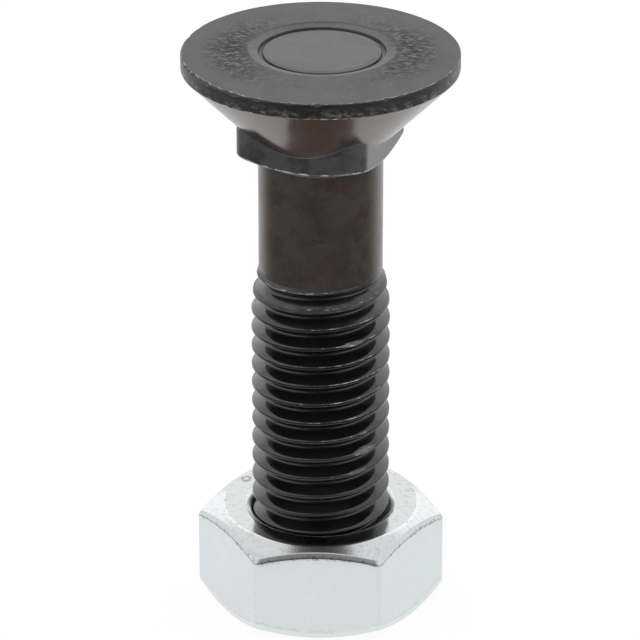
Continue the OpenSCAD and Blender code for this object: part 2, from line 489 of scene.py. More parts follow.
def make_piece(name, points, quads, marks, material):
    """A smooth mesh object at the origin, with one number per point for each mark. Faces whose corners
    meet become triangles, or go if nothing is left of them."""
    kept = quads != np.roll(quads, -1, axis=1)
    whole = kept.sum(axis=1) > 2
    quads, kept = quads[whole], kept[whole]
    loops, sizes = quads[kept], kept.sum(axis=1)
    mesh = bpy.data.meshes.new(name)
    mesh.vertices.add(len(points))
    mesh.vertices.foreach_set("co", points.astype(np.float32).ravel())
    mesh.loops.add(len(loops))
    mesh.loops.foreach_set("vertex_index", loops.astype(np.int32))
    mesh.polygons.add(len(sizes))
    mesh.polygons.foreach_set("loop_start", (np.cumsum(sizes) - sizes).astype(np.int32))
    mesh.polygons.foreach_set("use_smooth", np.ones(len(sizes), bool))
    mesh.update(calc_edges=True)
    if mesh.validate():
        raise RuntimeError(f"{name} has faces that don't join up")
    for mark_name, values in marks.items():
        attribute = mesh.attributes.new(mark_name, "FLOAT", "POINT")
        attribute.data.foreach_set("value", values.astype(np.float32))
    mesh.materials.append(material)
    piece = bpy.data.objects.new(name, mesh)
    bpy.context.scene.collection.objects.link(piece)
    return piece


# The bolt

def bruised_radius(around, height, crest):
    """Radius that the thread's bruises leave: for each listed angle and height a flat across the crest,
    which leans back upwards, at its distance from the axis over the cosine of the angle from its middle.
    Far from every bruise it is twice the crest's radius."""
    lean = 0.5
    reach_round, reach_up = 0.6, 0.7 * MM
    degrees, heights, depths = np.array(CREST_NICKS).T
    off = np.angle(np.exp(1j * (around[..., None] - np.radians(degrees))))
    rise = height[..., None] - heights * MM
    flat = (crest - depths * MM - lean * rise) / np.cos(np.clip(off, -1, 1))
    near = (np.abs(off) < reach_round) & (np.abs(rise) < reach_up)
    return np.where(near, flat, 2 * crest).min(axis=-1)


def bolt_thread_radius(sizes, around, height):
    """Radius of the bolt's thread: the groove's rounded root and its 60 degree flanks, cut off at the
    crest. Over the run-out the crest sinks to the shank along a parabola, and the groove widens and
    closes. The bruises and the tip's 45 degree chamfer cut the rest off."""
    shank, crest, root = sizes.shank_diameter / 2, sizes.thread_diameter / 2, sizes.root_diameter / 2
    widens_from, widens_to = sizes.runout_top - 0.9 * MM, sizes.runout_top - 0.6 * MM
    bruise_edge = 0.01 * MM
    off = thread_phase(around, height, sizes.pitch)
    sunk = np.clip((height - sizes.runout_foot) / (sizes.runout_top - sizes.runout_foot), 0, 1) ** 2
    closed = ease(sizes.runout_top - sizes.pitch / 2, sizes.runout_top, height)
    bottom = root + (shank - root) * closed
    bottom_end = half_groove(sizes) + sizes.last_groove * ease(widens_from, widens_to, height)
    flank = bottom + FLANK_RISE * smooth_max(off - bottom_end, 0, sizes.root_round)
    radius = smooth_min(flank, crest + (shank - crest) * sunk, sizes.crest_round)
    radius = smooth_min(radius, bruised_radius(around, height, crest), bruise_edge)
    chamfer = crest - sizes.tip_chamfer + height
    return smooth_min(radius, chamfer, sizes.crest_round)


def rim_edge_width(sizes, around):
    """Width of the broken edge round the top: the whole edge's width, and more where it is nicked, most
    of all at the front left."""
    bites = sum(depth * notches(around, NICKED_TOWARDS, spread, number, BITE_WIDTH, seed)
                for spread, number, seed, depth in RIM_BITES)
    return sizes.rim_edge + (sizes.rim_nick - sizes.rim_edge) * np.clip(bites, 0, 1)


def neck_ends(sizes, around):
    """Radius of the square neck at each angle, the height at which the cone runs into it, and the height
    of its lower end, which is a shallow cone and so climbs towards the corners."""
    radius = polygon_radius(around, 4, TURN / 8, sizes.neck_width / 2, sizes.neck_corner)
    in_from_rim = sizes.head_diameter / 2 - radius
    upper = sizes.top - sizes.rim_height - in_from_rim / math.tan(sizes.head_angle / 2)
    lower = sizes.top - sizes.neck_depth + (radius - sizes.neck_width / 2) * math.tan(sizes.neck_slope)
    return radius, upper, lower


def bolt_head_section(sizes, around):
    """Rows from the recess's middle to the foot of the plain shank, as rounded_section makes them."""
    top, head, shank = sizes.top, sizes.head_diameter / 2, sizes.shank_diameter / 2
    floor = top - sizes.recess_depth
    groove = floor - sizes.groove_depth
    mouth = sizes.recess_diameter / 2
    bevel_foot = mouth - sizes.recess_bevel
    floor_end = bevel_foot - sizes.groove_width
    neck, neck_top, neck_foot = neck_ends(sizes, around)
    under_neck = top - sizes.neck_depth - (sizes.neck_width / 2 - shank) * math.tan(sizes.neck_slope)
    shank_foot = sizes.runout_top + 0.4 * MM
    edge = rim_edge_width(sizes, around)
    return rounded_section([
        (0, floor, 0, 0, 0),
        (floor_end - sizes.recess_dish, floor, 0.4 * MM, 3, 6),
        (floor_end, floor - sizes.recess_dip, 0.06 * MM, 3, 3),
        (floor_end + sizes.groove_lean, groove, 0.02 * MM, 2, 3),
        (bevel_foot - sizes.groove_lean, groove, 0.03 * MM, 2, 2),
        (bevel_foot, floor + sizes.bevel_foot, 0.03 * MM, 3, 3),
        (mouth - sizes.recess_lip, top - sizes.recess_lip, 0.1 * MM, 3, 4),
        (mouth, top, 0.04 * MM, 3, 1),
        (head - edge, top, 0.03 * MM, 3, 12),
        (head, top - edge, 0.03 * MM, 3, 2),
        (head, top - sizes.rim_height, 0.2 * MM, 5, 6),
        (neck, neck_top, 0.2 * MM, 5, 12),
        (neck, neck_foot, sizes.neck_edge, 5, 7),
        (shank, under_neck, sizes.neck_fillet, 5, 3),
        (shank, shank_foot, 0, 0, 9),
    ])


def bolt_surface(sizes):
    """Points and faces of the bolt: rings from the recess's middle down to the shank, rows that climb
    with the thread, and rings over the tip's end. The rings of the recess are moved off the axis, and
    those round it less and less towards the rim. Outside the neck the rings are pressed in by ripples."""
    count = sizes.columns
    around = crowded_angles(count, 4, TURN / 8, NECK_CROWDING)
    section = bolt_head_section(sizes, around)
    radius, height = section[1:, :, 0], section[1:, :, 1]
    ripple_length, ripple_waves, ripple_seed = 6 * MM, 9, 11
    ripple_from, ripple_whole = 7 * MM, 9 * MM
    uneven = sizes.forged * ripples(around, height / ripple_length, ripple_waves, ripple_seed)
    radius = radius - np.abs(uneven) * ease(ripple_from, ripple_whole, radius)
    off_axis = np.array([sizes.recess_x, sizes.recess_y, 0])
    moved_whole, moved_none = 1.08 * sizes.recess_diameter / 2, 0.95 * sizes.head_diameter / 2
    moved = ease(moved_none, moved_whole, radius) * (height > sizes.top - sizes.rim_height)
    rings = turned(radius, around, height) + moved[..., None] * off_axis

    low = 0.0
    across, climb, number, above, below = climbing_rows(around, sizes, BOLT_THREAD_ROWS, height[-1, 0], low)
    thread = turned(bolt_thread_radius(sizes, across, climb), across, climb)
    tip_radius = sizes.thread_diameter / 2 - sizes.tip_chamfer
    tip = turned(np.array(TIP_RINGS)[:, None] * tip_radius, around, low)
    recess_middle = off_axis + (0, 0, section[0, 0, 1])
    tip_middle = (0, 0, low)
    points = np.concatenate([[recess_middle], rings.reshape(-1, 3), thread, tip.reshape(-1, 3), [tip_middle]])

    ring_index = grid_of_numbers(1, len(rings), count)
    first_thread = 1 + ring_index.size
    tip_index = grid_of_numbers(first_thread + len(thread), len(tip), count)
    thread_index = np.where(above, ring_index[-1], np.where(below, tip_index[0], first_thread + number))
    quads = np.concatenate([
        quads_between(np.vstack([np.zeros((1, count), int), ring_index])),
        quads_between(thread_index, 2 * len(BOLT_THREAD_ROWS)),
        quads_between(np.vstack([tip_index, np.full((1, count), len(points) - 1)])),
    ])
    return points, quads


def bolt_zones(sizes, around, radius, height):
    """How far each point belongs to each of the bolt's zones, from 0 to 1, with soft borders between
    them."""
    border = 0.1 * MM
    top, head = sizes.top, sizes.head_diameter / 2
    rim_foot = top - sizes.rim_height
    neck, _, neck_foot = neck_ends(sizes, around)
    top_from, top_whole = top - 0.8 * MM, top - 0.4 * MM
    edge_from, edge_whole = head - 0.02 * MM, head - 0.2 * MM
    neck_from, neck_whole = neck + 0.25 * MM, neck + 0.05 * MM
    threaded = ease(sizes.runout_top + border, sizes.runout_top - 2 * border, height)
    on_top = ease(top_from, top_whole, height) * ease(edge_from, edge_whole, radius)
    above_rim_foot = ease(rim_foot - border, rim_foot + border, height)
    above_neck_foot = ease(neck_foot - border, neck_foot + border, height)
    under_head = (1 - above_rim_foot) * above_neck_foot
    on_neck = under_head * ease(neck_from, neck_whole, radius)
    return {
        "top": on_top,
        "rim": above_rim_foot * (1 - on_top),
        "cone": under_head * (1 - on_neck),
        "neck": on_neck,
        "shank": (1 - above_neck_foot) * (1 - threaded),
        "thread": threaded,
    }


def edge_wear_and_highlight(sizes, wear, around, radius, height):
    """How far the edges of the head and the neck are worn bare, some of it as painted highlights: a bell
    curve over the distance from each edge. Along the top's edge and the neck's lower end this is worn steel
    and a painted highlight, and along the line between the cone and the neck a painted highlight only."""
    rim_line, line = 0.06 * MM, 0.14 * MM
    head, top = sizes.head_diameter / 2, sizes.top
    neck, neck_top, neck_foot = neck_ends(sizes, around)
    from_rim = np.hypot(radius - head + rim_edge_width(sizes, around), height - top)
    from_rim_foot = np.hypot(radius - head, height - top + sizes.rim_height)
    worn_flat = 0.4 * sizes.neck_edge
    from_neck_foot = np.maximum(np.hypot(radius - neck, height - neck_foot) - worn_flat, 0)
    from_scallop = np.hypot(radius - neck, height - neck_top)
    # Painted highlights as bare steel: wholly along the scallop, partly along the top's edge and the neck's
    # lower end.
    return np.maximum.reduce([
        wear.rim * bell(from_rim, rim_line),
        wear.rim_foot * bell(from_rim_foot, line),
        wear.neck_foot * bell(from_neck_foot, line),
        wear.scallop_highlight * bell(from_scallop, line),
    ])


def over_crest(sizes, around, height):
    """Distance along the axis from the middle of the thread's nearest crest, upwards positive."""
    return (np.mod(height / sizes.pitch - around / TURN + 0.5, 1) - 0.5) * sizes.pitch


def sinking_crests(sizes, around, height):
    """1 on the crests of the run-out's upper end and 0 off the crests and below the run-out."""
    sunk_at = sizes.runout_top - 0.6 * sizes.pitch
    crest_from, crest_whole = 0.32 * sizes.pitch, 0.12 * sizes.pitch
    off = np.abs(over_crest(sizes, around, height))
    return ease(sizes.runout_foot, sunk_at, height) * ease(crest_from, crest_whole, off)


def thread_wear(sizes, wear, around, radius, height):
    """How far the thread is worn bare, and how far it is scuffed: lines along the edges of its crests,
    which grow up the thread and are strongest where it was knocked, the sinking crests, the bruises, and
    the line along the last groove, where the shank ends."""
    crest_line, end_line = 0.05 * MM, 0.07 * MM
    bruise_border = 0.02 * MM
    knocks_gather = 6
    half_crest = sizes.crest_flat / 2
    end_under = 2.4 * half_crest
    end_from, end_whole = sizes.runout_top - 0.9 * sizes.pitch, sizes.runout_top - 0.7 * sizes.pitch
    over = over_crest(sizes, around, height)
    upper_line, lower_line = bell(over - half_crest, crest_line), bell(over + half_crest, crest_line)
    sinking = sinking_crests(sizes, around, height)
    off_bruise = np.abs(bruised_radius(around, height, sizes.thread_diameter / 2) - radius)
    bruised = ease(bruise_border, 0.0, off_bruise)
    exposed = wear.sheltered + (1 - wear.sheltered) * ease(NUT_HIGH.z, wear.sheltered_top, height)
    facing = np.cos((around - KNOCKED_TOWARDS) / 2) ** knocks_gather
    knocked = exposed * (wear.knocked_least + (1 - wear.knocked_least) * facing)
    shank_end = ease(end_from, end_whole, height) * bell(over + end_under, end_line)
    worn = np.maximum.reduce([
        wear.crest * knocked * upper_line,
        wear.runout * sinking,
        wear.bruise * bruised,
        wear.shank_end * shank_end,
    ])
    lines = exposed * np.maximum(wear.crest_scuff * upper_line, wear.lower_scuff * lower_line)
    scuffed = np.maximum.reduce([lines, wear.runout_scuff * sinking, wear.bruise_scuff * bruised])
    return worn, scuffed


def bolt_marks(sizes, wear, finish, points):
    """One number per point: where the bolt is worn bare and where it is only scuffed, how rough and how
    grainy it is, where it is brown, reddened or grey, where the top is marked by the press, and where the
    rim's band and the thread are."""
    around, radius, height = polar(points)
    zones = bolt_zones(sizes, around, radius, height)
    worn_thread, scuffed = thread_wear(sizes, wear, around, radius, height)
    # worn: real wear on the thread and the rim's lower edge, worn steel and painted highlight along the top's
    # edge and the neck's lower end, painted highlight along the scallop.
    worn = np.maximum(edge_wear_and_highlight(sizes, wear, around, radius, height), zones["thread"] * worn_thread)

    rough = sum(ZONE_ROUGHNESS[zone] * part for zone, part in zones.items())
    rough = rough + finish.runout_rough * zones["thread"] * sinking_crests(sizes, around, height)
    from_corner = np.abs(np.mod(around, TURN / 4) - TURN / 8)
    corner_from, corner_whole = 0.20, 0.12
    rough = rough + finish.corner_rough * zones["neck"] * ease(corner_from, corner_whole, from_corner)

    from_recess = np.hypot(points[:, 0] - sizes.recess_x, points[:, 1] - sizes.recess_y)
    in_recess = zones["top"] * (from_recess < sizes.recess_diameter / 2)
    pressed_least, pressed_gathers = 0.1, 3
    side_on = np.abs(np.cos(around - PRESSED_TOWARDS)) ** pressed_gathers
    pressed = bell(radius - PRESSED_RADIUS, PRESSED_WIDTH) * (pressed_least + (1 - pressed_least) * side_on)
    band_top = sizes.top - 0.15 * sizes.rim_height
    return {
        "worn": worn,
        "scuffed": zones["thread"] * scuffed,
        "zone_roughness": rough,
        "zone_grain": sum(ZONE_GRAIN[zone] * part for zone, part in zones.items()),
        "brown": np.maximum(zones["shank"], finish.cone_brown * zones["cone"]),
        "reddened": zones["cone"],
        "grey": zones["neck"] + in_recess,
        "pressed": pressed * zones["top"],
        "rim_band": zones["rim"] * ease(band_top, sizes.top - sizes.rim_height, height),
        "threaded": zones["thread"],
    }


# The nut

def nut_thread_radius(sizes, bolt, around, height):
    """Radius of the nut's bore: the bolt's flanks moved out by the play, cut off at the bore and at the
    bottom of the grooves, and opened at both ends by 120 degree countersinks."""
    off = thread_phase(around, height, bolt.pitch)
    flank = bolt.root_diameter / 2 + sizes.play + FLANK_RISE * (off - half_groove(bolt))
    radius = smooth_min(flank, sizes.groove / 2, sizes.thread_round)
    radius = smooth_max(radius, sizes.bore / 2, sizes.thread_round)
    depth = np.minimum(height, sizes.height - height)
    return smooth_max(radius, sizes.mouth / 2 - depth * COUNTERSINK_RISE, sizes.mouth_round)


def flat_ends(sizes, side):
    """Heights of a flat's upper and lower end at a distance from the axis, where the two chamfers cut
    it."""
    to_bend = (side - sizes.bend - sizes.upper_face / 2) * math.tan(sizes.upper_slope)
    upper = sizes.height - to_bend - sizes.bend * math.tan(sizes.bend_slope)
    return upper, (side - sizes.foot_face / 2) * math.tan(sizes.foot_slope)


def nut_surface(sizes, bolt):
    """Points and faces of the nut: rings from the upper mouth out over the upper face and its chamfer,
    down the six flats and in over the foot, and rows that climb with the thread through the bore."""
    count = sizes.columns
    around = crowded_angles(count, 6, sizes.turn, NUT_CROWDING)
    side = polygon_radius(around, 6, sizes.turn, sizes.flats / 2, sizes.corner)
    arc, low = flat_ends(sizes, side)
    mouth = sizes.mouth / 2
    section = rounded_section([
        (mouth, sizes.height, 0, 0, 0),
        (sizes.upper_face / 2, sizes.height, sizes.upper_round, 7, 6),
        (side - sizes.bend, arc + sizes.bend * math.tan(sizes.bend_slope), sizes.bend_round, 7, 5),
        (side, arc, sizes.arc_round, 7, 2),
        (side, low, sizes.low_round, 3, 10),
        (sizes.foot_face / 2, 0, sizes.foot_round, 3, 3),
        (mouth, 0, 0, 0, 8),
    ])
    rings = turned(section[..., 0], around, section[..., 1])
    across, climb, number, above, below = climbing_rows(around, bolt, NUT_THREAD_ROWS, sizes.height, 0.0)
    bore = turned(nut_thread_radius(sizes, bolt, across, climb), across, climb)
    points = np.concatenate([rings.reshape(-1, 3), bore])

    ring_index = grid_of_numbers(0, len(rings), count)
    bore_index = np.where(above, ring_index[0], np.where(below, ring_index[-1], ring_index.size + number))
    inward = quads_between(bore_index, 2 * len(NUT_THREAD_ROWS))[:, ::-1]
    return points, np.concatenate([quads_between(ring_index), inward])


def nut_marks(sizes, points):
    """One number per point: how close it lies to one of the nut's outer edges, whether it is on the upper
    side, on that side's flat face or in the bore, and how many millimetres it lies over its flat's lower
    end."""
    near = 0.22 * MM
    ring_part, corner_part = 0.6, 0.3
    corner_reach, arc_border = 0.8 * MM, 0.18 * MM
    around, radius, height = polar(points)
    flat, face, mouth = sizes.flats / 2, sizes.upper_face / 2, sizes.mouth / 2
    face_from, face_whole = face + 0.25 * MM, face - 0.1 * MM
    bore_from, bore_whole = mouth - 0.3 * MM, mouth - 0.5 * MM
    side = polygon_radius(around, 6, sizes.turn, flat, sizes.corner)
    arc, low = flat_ends(sizes, side)
    arcs = bell(np.hypot(radius - side, height - arc), near)
    ring = bell(radius - face, near) * (height > sizes.height / 2)
    wedge = TURN / 6
    from_corner = np.abs(np.mod(around - sizes.turn + wedge / 2, wedge) - wedge / 2) * radius
    corner = bell(from_corner, near) * ease(flat, flat + corner_reach, radius)
    upper_side = ease(arc - arc_border, arc, height) * (radius > mouth)
    return {
        "edge": np.maximum.reduce([arcs, ring_part * ring, corner_part * corner]),
        "upper_side": upper_side,
        "upper_face": upper_side * ease(face_from, face_whole, radius),
        # bore: where the painted shade inside the countersinks and the bore lies
        "bore": ease(bore_from, bore_whole, radius),
        "over_foot": (height - low) / MM,
    }


# Finishes

def add_node(tree, kind, inputs=(), **settings):
    """A shader node with its settings, and each input linked to a socket or set to a value."""
    made = tree.nodes.new("ShaderNode" + kind)
    for name, value in settings.items():
        setattr(made, name, value)
    for name, value in dict(inputs).items():
        if isinstance(value, bpy.types.NodeSocket):
            tree.links.new(value, made.inputs[name])
        else:
            made.inputs[name].default_value = value
    return made


def noise(tree, coordinates, scale, detail, roughness):
    """Noise from 0 to 1 over coordinates in metres; scale is how many lumps go to a metre."""
    inputs = {"Vector": coordinates, "Scale": scale, "Detail": detail, "Roughness": roughness}
    return add_node(tree, "TexNoise", inputs).outputs["Fac"]


def ramp(tree, value, low, high, to_low=0.0, to_high=1.0):
    """A value eased from one range to another."""
    inputs = {"Value": value, "From Min": low, "From Max": high, "To Min": to_low, "To Max": to_high}
    return add_node(tree, "MapRange", inputs, interpolation_type="SMOOTHSTEP").outputs["Result"]


def maths(tree, operation, a, b):
    """One sum on two values."""
    return add_node(tree, "Math", {0: a, 1: b}, operation=operation).outputs[0]


def plus(tree, a, b):
    """The sum of two values."""
    return maths(tree, "ADD", a, b)


def times(tree, a, b):
    """The product of two values."""
    return maths(tree, "MULTIPLY", a, b)


def greater(tree, a, b):
    """The greater of two values."""
    return maths(tree, "MAXIMUM", a, b)


def vector_maths(tree, operation, output, inputs):
    """One sum on vectors."""
    return add_node(tree, "VectorMath", inputs, operation=operation).outputs[output]


def opaque(rgb):
    """A colour with full alpha."""
    return (*rgb, 1.0)


def tint(tree, factor, base, rgb):
    """The base colour where the factor is 0, and the other colour where it is 1."""
    return add_node(tree, "Mix", {0: factor, 6: base, 7: opaque(rgb)}, data_type="RGBA").outputs[2]


def blend_value(tree, factor, a, b):
    """Value a where the factor is 0, and b where it is 1."""
    return add_node(tree, "Mix", {0: factor, 2: a, 3: b}, data_type="FLOAT").outputs[0]


def mark(tree, name):
    """A piece's own mark, as it is written on its points."""
    return add_node(tree, "Attribute", attribute_name=name).outputs["Fac"]


def wound(tree, coordinates, round_scale, out_scale, up_scale):
    """Coordinates that follow the axis round: the direction from the axis times round_scale, so that
    there is no seam, with the distance from the axis times out_scale and the height times up_scale on
    top."""
    level = vector_maths(tree, "MULTIPLY", "Vector", {0: coordinates, 1: (1, 1, 0)})
    spoke = vector_maths(tree, "NORMALIZE", "Vector", {0: level})
    spoke = vector_maths(tree, "SCALE", "Vector", {0: spoke, "Scale": round_scale})
    out = vector_maths(tree, "LENGTH", "Value", {0: level})
    up = add_node(tree, "SeparateXYZ", {0: coordinates}).outputs["Z"]
    rise = plus(tree, times(tree, out, out_scale), times(tree, up, up_scale))
    rise = add_node(tree, "CombineXYZ", {"Z": rise}).outputs["Vector"]
    return vector_maths(tree, "ADD", "Vector", {0: spoke, 1: rise})


def new_material(name):
    """A node material, with its shader and the piece's own coordinates."""
    material = bpy.data.materials.new(name)
    material.use_nodes = True
    tree = material.node_tree
    shader = next(n for n in tree.nodes if n.type == "BSDF_PRINCIPLED")
    coordinates = add_node(tree, "TexCoord").outputs["Object"]
    return material, tree, shader, coordinates


def add_relief(tree, shader, relief, finish):
    """Small relief on a finish, of the finish's strength and depth."""
    inputs = {"Height": relief, "Strength": finish.relief, "Distance": finish.relief_depth}
    tree.links.new(add_node(tree, "Bump", inputs).outputs["Normal"], shader.inputs["Normal"])


def black_steel(finish):
    """Oiled black steel: a gloss black with brown bloom on the shank and the cone, a greyer neck and
    recess, short dull strokes pressed into the top on both sides of the recess with painted glints between
    them, scuffs on the rim, thin scuffed lines along the thread's crests, and bare steel here and there
    along the edges, which is partly painted highlight along the head's and the neck's edges."""
    material, tree, shader, place = new_material("black_oxide_steel")
    cloud = noise(tree, place, scale=420, detail=4, roughness=0.6)
    fine = noise(tree, place, scale=4200, detail=3, roughness=0.6)
    speck = noise(tree, place, scale=1900, detail=4, roughness=0.7)
    spots = noise(tree, place, scale=950, detail=4, roughness=0.65)
    blots = noise(tree, place, scale=2600, detail=3, roughness=0.65)
    grit = noise(tree, place, scale=1300, detail=5, roughness=0.75)
    along = wound(tree, place, round_scale=7.0, out_scale=9000, up_scale=9000)
    streak = noise(tree, along, scale=1.0, detail=3, roughness=0.6)
    outward = wound(tree, place, round_scale=26.0, out_scale=1500, up_scale=0)
    stroke = noise(tree, outward, scale=1.0, detail=3, roughness=0.65)
    along_rim = wound(tree, place, round_scale=14.0, out_scale=0, up_scale=2400)
    smudge = noise(tree, along_rim, scale=1.0, detail=4, roughness=0.7)
    brown, press = mark(tree, "brown"), mark(tree, "pressed")

    bloom = times(tree, brown, ramp(tree, cloud, 0.30, 0.68, 0.70, 1.1))
    base = tint(tree, bloom, opaque(finish.black), finish.brown)
    rusty = times(tree, brown, times(tree, ramp(tree, spots, 0.50, 0.66), finish.rustiness))
    reddened = times(tree, mark(tree, "reddened"), ramp(tree, cloud, 0.3, 0.7, 0.45, 1.0))
    base = tint(tree, greater(tree, rusty, reddened), base, finish.rust)
    greyed = times(tree, mark(tree, "grey"), ramp(tree, cloud, 0.36, 0.64, 0.5, 1.2))
    base = tint(tree, greyed, base, finish.grey)

    pressed = greater(tree, ramp(tree, stroke, 0.46, 0.56), ramp(tree, blots, 0.50, 0.60))
    pressed = times(tree, press, pressed)
    # Painted highlight: thin lighter streaks of the scuff colour between the pressed strokes, standing in for
    # glints.
    painted_glints = times(tree, press, ramp(tree, stroke, 0.42, 0.36, 0.0, 0.8))
    base = tint(tree, painted_glints, base, finish.scuff)
    band = times(tree, mark(tree, "rim_band"), ramp(tree, smudge, 0.46, 0.64, 0.04, 1.1))
    base = tint(tree, band, base, finish.scuff)
    lines = times(tree, mark(tree, "scuffed"), ramp(tree, streak, 0.35, 0.65, 0.25, 1.0))
    base = tint(tree, lines, base, finish.scuff)

    # The bare steel is worn steel, and along the head's and the neck's edges partly painted highlight.
    patchiness, bare_from, bare_whole = 1.5, 1.40, 1.75
    patchy = blend_value(tree, mark(tree, "threaded"), grit, streak)
    worn = plus(tree, mark(tree, "worn"), times(tree, patchy, patchiness))
    wear = ramp(tree, worn, bare_from, bare_whole)
    base = tint(tree, wear, base, finish.bare)
    tree.links.new(base, shader.inputs["Base Color"])

    rough = plus(tree, mark(tree, "zone_roughness"), ramp(tree, fine, 0.3, 0.7, -0.025, 0.035))
    rough = plus(tree, rough, ramp(tree, cloud, 0.35, 0.65, -0.025, 0.035))
    rough = plus(tree, rough, times(tree, pressed, finish.pressed_rough))
    rough = plus(tree, rough, times(tree, wear, finish.bare_rough))
    tree.links.new(rough, shader.inputs["Roughness"])
    tree.links.new(times(tree, wear, finish.bare_metal), shader.inputs["Metallic"])
    shader.inputs["IOR"].default_value = finish.index

    speck_part, streak_part = 1.5, 0.35
    lumps = plus(tree, fine, times(tree, speck, speck_part))
    relief = times(tree, lumps, mark(tree, "zone_grain"))
    relief = plus(tree, relief, times(tree, pressed, -finish.pressed_deep))
    relief = plus(tree, relief, times(tree, times(tree, brown, streak), streak_part))
    add_relief(tree, shader, relief, finish)
    return material


def dent_ring(tree, place, spots, finish):
    """How dark the plating is round the small dent in the upper face: a ring between four radii, with
    spots to make its distance from the dent's middle uneven."""
    uneven = 0.16 * MM
    begins, dark, fades, ends = DENT_RING
    off = vector_maths(tree, "DISTANCE", "Value", {0: place, 1: DENT_AT})
    off = plus(tree, off, ramp(tree, spots, 0.3, 0.7, -uneven, uneven))
    return times(tree, ramp(tree, off, begins, dark), ramp(tree, off, fades, ends, finish.dent, 0.0))


def zinc_plate(finish):
    """Bright zinc plating: a pale bluish metal with faint warm and pinkish clouds, fine speckle, pits
    along its edges, a painted highlight along the foot with a broken dark line over it, an upper chamfer
    painted darker and an upper face painted lighter for the light that falls on them, the face smoother
    and with one small dent, and a dull bore inside the countersinks darkened by painted shade."""
    material, tree, shader, place = new_material("zinc_plate")
    cloud = noise(tree, place, scale=260, detail=3, roughness=0.55)
    haze = noise(tree, place, scale=430, detail=2, roughness=0.5)
    fine = noise(tree, place, scale=3600, detail=4, roughness=0.65)
    spots = noise(tree, place, scale=2300, detail=4, roughness=0.7)
    gaps = noise(tree, place, scale=700, detail=3, roughness=0.6)
    upper_side, upper_face = mark(tree, "upper_side"), mark(tree, "upper_face")
    over_foot, bore = mark(tree, "over_foot"), mark(tree, "bore")

    base = tint(tree, ramp(tree, cloud, 0.45, 0.7), opaque(finish.zinc), finish.warm)
    base = tint(tree, ramp(tree, haze, 0.5, 0.68), base, finish.pink)
    # Painted shade on the upper chamfer, and painted light on the upper face.
    base = tint(tree, upper_side, base, finish.upper)
    base = tint(tree, upper_face, base, finish.face)
    # Painted highlight along the foot: the flats' lowest half millimetre is lightened to the light colour.
    base = tint(tree, ramp(tree, over_foot, 0.35, 0.55, finish.painted_foot_highlight, 0.0), base, finish.light)

    unevenness = ramp(tree, spots, 0.3, 0.7, -0.15, 0.15)
    wavy = plus(tree, over_foot, unevenness)
    line = times(tree, ramp(tree, wavy, 0.40, 0.55), ramp(tree, wavy, 0.60, 0.75, 1.0, 0.0))
    line = times(tree, line, ramp(tree, gaps, 0.45, 0.65, 0.0, finish.foot_line))
    least = ramp(tree, upper_side, 0, 1, finish.flat_pits, finish.upper_pits)
    edge = ramp(tree, mark(tree, "edge"), 0.1, 0.8, 0.0, finish.edge_pits)
    pits = times(tree, ramp(tree, spots, 0.51, 0.64), greater(tree, least, edge))
    pits = greater(tree, pits, dent_ring(tree, place, spots, finish))
    base = tint(tree, greater(tree, pits, line), base, finish.pit)
    # Painted shade: the countersinks and the bore take the dark bore colour, for the shade inside the nut.
    tree.links.new(tint(tree, bore, base, finish.bore), shader.inputs["Base Color"])

    rough = ramp(tree, upper_face, 0, 1, finish.flat_rough, finish.face_rough)
    rough = plus(tree, rough, ramp(tree, fine, 0.3, 0.7, -0.01, 0.015))
    tree.links.new(blend_value(tree, bore, rough, finish.bore_rough), shader.inputs["Roughness"])
    plated = ramp(tree, upper_side, 0, 1, finish.flat_metal, 1.0)
    tree.links.new(blend_value(tree, bore, plated, 0.0), shader.inputs["Metallic"])
    add_relief(tree, shader, plus(tree, fine, times(tree, pits, -finish.pit_depth)), finish)
    return material


# The studio

def seen_directly(tree):
    """1 for rays from the camera, in a mirror or through glass, and 0 for the light that surfaces
    scatter."""
    path = add_node(tree, "LightPath")
    direct = greater(tree, path.outputs["Is Camera Ray"], path.outputs["Is Glossy Ray"])
    return greater(tree, direct, path.outputs["Is Transmission Ray"])


def white_surroundings(studio):
    """A world that looks white and lights softly."""
    world = bpy.data.worlds.new("white_surroundings")
    world.use_nodes = True
    tree = world.node_tree
    background = next(n for n in tree.nodes if n.type == "BACKGROUND")
    background.inputs["Color"].default_value = WHITE
    strength = ramp(tree, seen_directly(tree), 0, 1, studio.ambient, 1.0)
    tree.links.new(strength, background.inputs["Strength"])
    bpy.context.scene.world = world


def cleared_material(name):
    """A node material with nothing in it yet."""
    material = bpy.data.materials.new(name)
    material.use_nodes = True
    material.node_tree.nodes.clear()
    return material, material.node_tree


def stage_piece(name, points, faces, material):
    """A mesh object that belongs to the stage."""
    mesh = bpy.data.meshes.new(name)
    mesh.from_pydata(points, [], faces)
    mesh.materials.append(material)
    piece = bpy.data.objects.new(name, mesh)
    bpy.context.scene.collection.objects.link(piece)
    return piece


def white_floor(studio):
    """A wide pale floor just under the nut's foot: partly a white of its own, partly lit, so that it
    keeps shadows."""
    material, tree = cleared_material("white_floor")
    lit = add_node(tree, "BsdfDiffuse", {"Color": opaque((studio.floor_pale,) * 3)}).outputs[0]
    glow = add_node(tree, "Emission", {"Color": WHITE, "Strength": studio.floor_white}).outputs[0]
    part = times(tree, seen_directly(tree), studio.floor_glow)
    mixed = add_node(tree, "MixShader", {0: part, 1: lit, 2: glow}).outputs[0]
    add_node(tree, "OutputMaterial", {"Surface": mixed})
    signs = ((-1, -1), (1, -1), (1, 1), (-1, 1))
    corners = [(x * FLOOR_HALF, y * FLOOR_HALF, -FLOOR_DROP) for x, y in signs]
    stage_piece("floor", corners, [(0, 1, 2, 3)], material)


